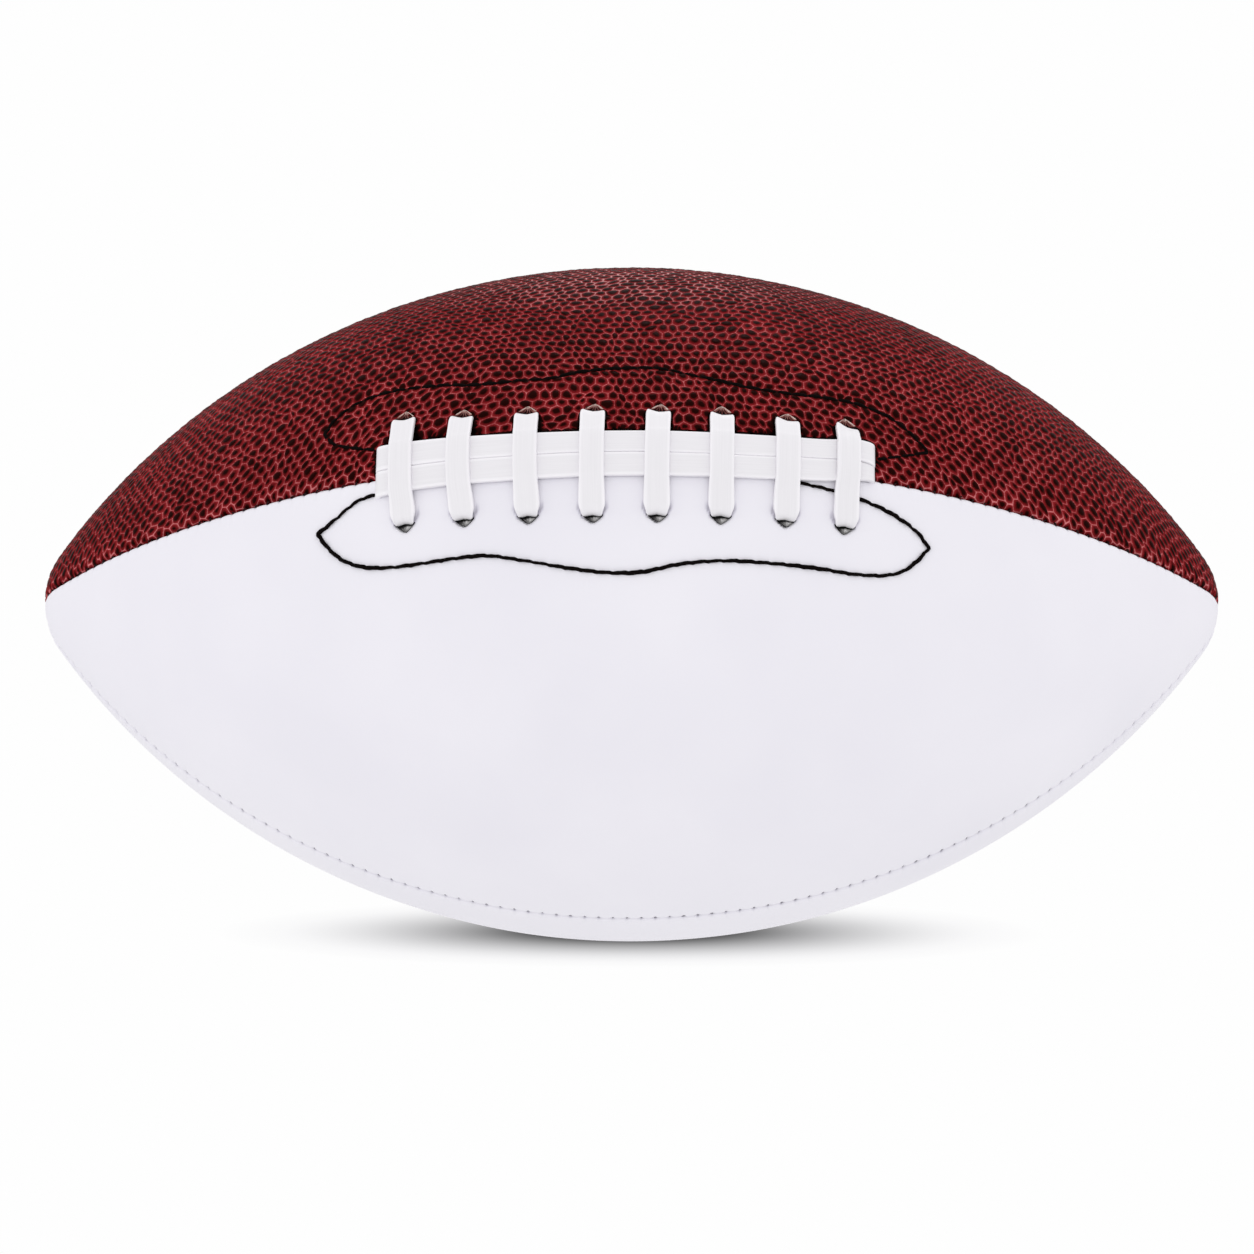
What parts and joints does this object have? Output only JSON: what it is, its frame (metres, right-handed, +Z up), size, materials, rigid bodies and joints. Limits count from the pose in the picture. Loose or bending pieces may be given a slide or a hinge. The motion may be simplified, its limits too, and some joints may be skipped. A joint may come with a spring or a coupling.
{
  "type": "american football",
  "caption": "Laced prolate ball of pebbled brown and smooth white gores over a bladder, lying on its side with the lacing to the front.",
  "frame": {"origin": "middle of the ball", "axes": "+X along the ball's long axis to its right point, seen from the lacing's side; +Z up as it lies; -Y towards the viewer, who sees the lacing"},
  "size_m": [0.28, 0.1594, 0.1594],
  "materials": {
    "brown_leather": "pebbled, semi-gloss",
    "white_leather": "smooth, satin",
    "lining_cloth": "woven, matte",
    "facing_leather": "raw, matte",
    "bladder_rubber": "matte",
    "valve_rubber": "satin",
    "plug_rubber": "satin",
    "lace_vinyl": "satin, faint lengthwise grain",
    "white_thread": "twisted, matte",
    "brown_thread": "twisted, matte",
    "black_thread": "twisted, waxed"
  },
  "bodies": {
    "root": {"brown_lace_panel": "brown_leather", "brown_back_panel": "brown_leather", "white_bottom_panel": "white_leather", "white_lace_panel": "white_leather", "brown_lace_lining": "lining_cloth", "brown_back_lining": "lining_cloth", "white_bottom_lining": "lining_cloth", "white_lace_lining": "lining_cloth", "brown_lace_facing": "facing_leather", "white_lace_facing": "facing_leather", "lace_guard": "facing_leather", "brown_lace_facing_stitch": "black_thread", "white_lace_facing_stitch": "black_thread", "lace": "lace_vinyl", "bladder": "bladder_rubber", "valve_housing": "valve_rubber", "valve_plug": "plug_rubber", "right_lace_seam_thread": "brown_thread", "left_lace_seam_thread": "brown_thread", "back_seam_thread": "brown_thread", "bottom_seam_thread": "white_thread", "lower_seam_thread": "white_thread"}
  },
  "joints": []
}
